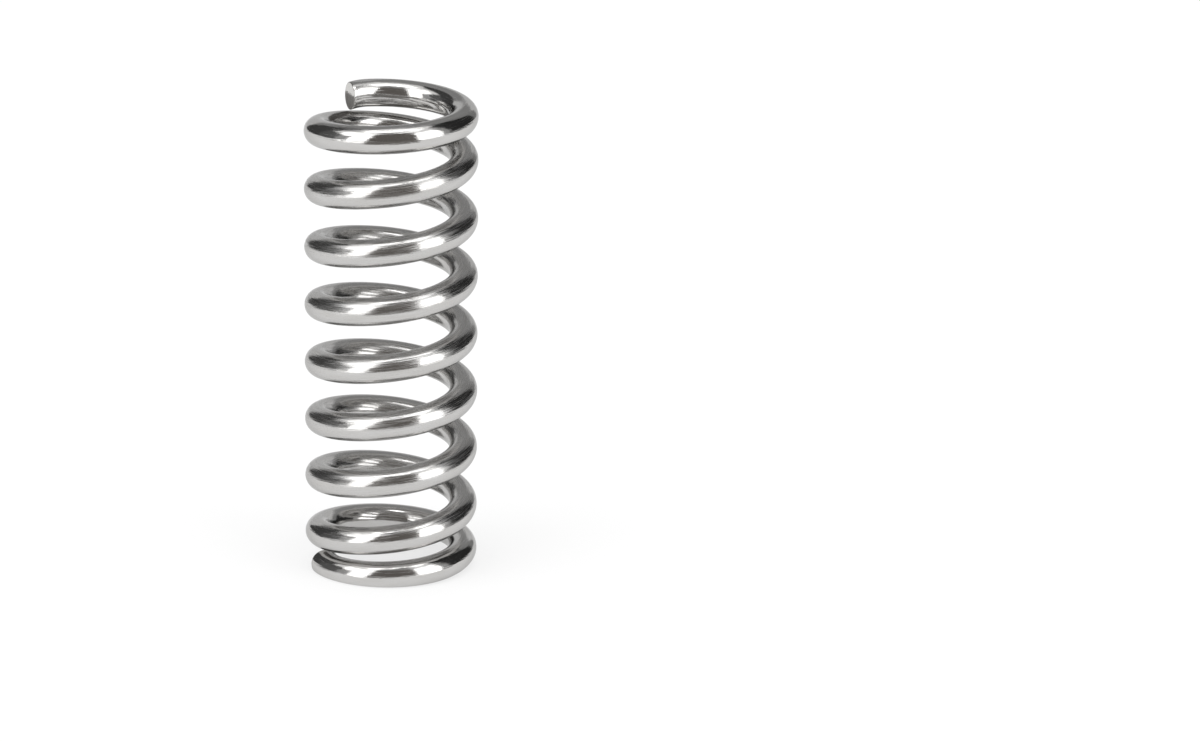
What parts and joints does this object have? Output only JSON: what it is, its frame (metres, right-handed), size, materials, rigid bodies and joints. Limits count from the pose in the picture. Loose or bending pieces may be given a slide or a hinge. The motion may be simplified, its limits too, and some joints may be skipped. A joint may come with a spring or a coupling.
{
  "type": "bed leveling spring",
  "caption": "Compression spring of plated round wire with closed, ground ends; sits round a leveling screw and pushes the bed away from its carriage.",
  "frame": {"origin": "centre of the lower ground face, on the coil's axis", "axes": "+Z along the coil's axis, from the lower ground face to the upper one; -Y faces the viewer as in the picture"},
  "size_m": [0.0074, 0.0074, 0.0207],
  "materials": {
    "plated_wire": "bright plated steel wire, smooth round flanks, ground end faces"
  },
  "bodies": {
    "root": {"coil_spring": "plated_wire"}
  },
  "joints": []
}
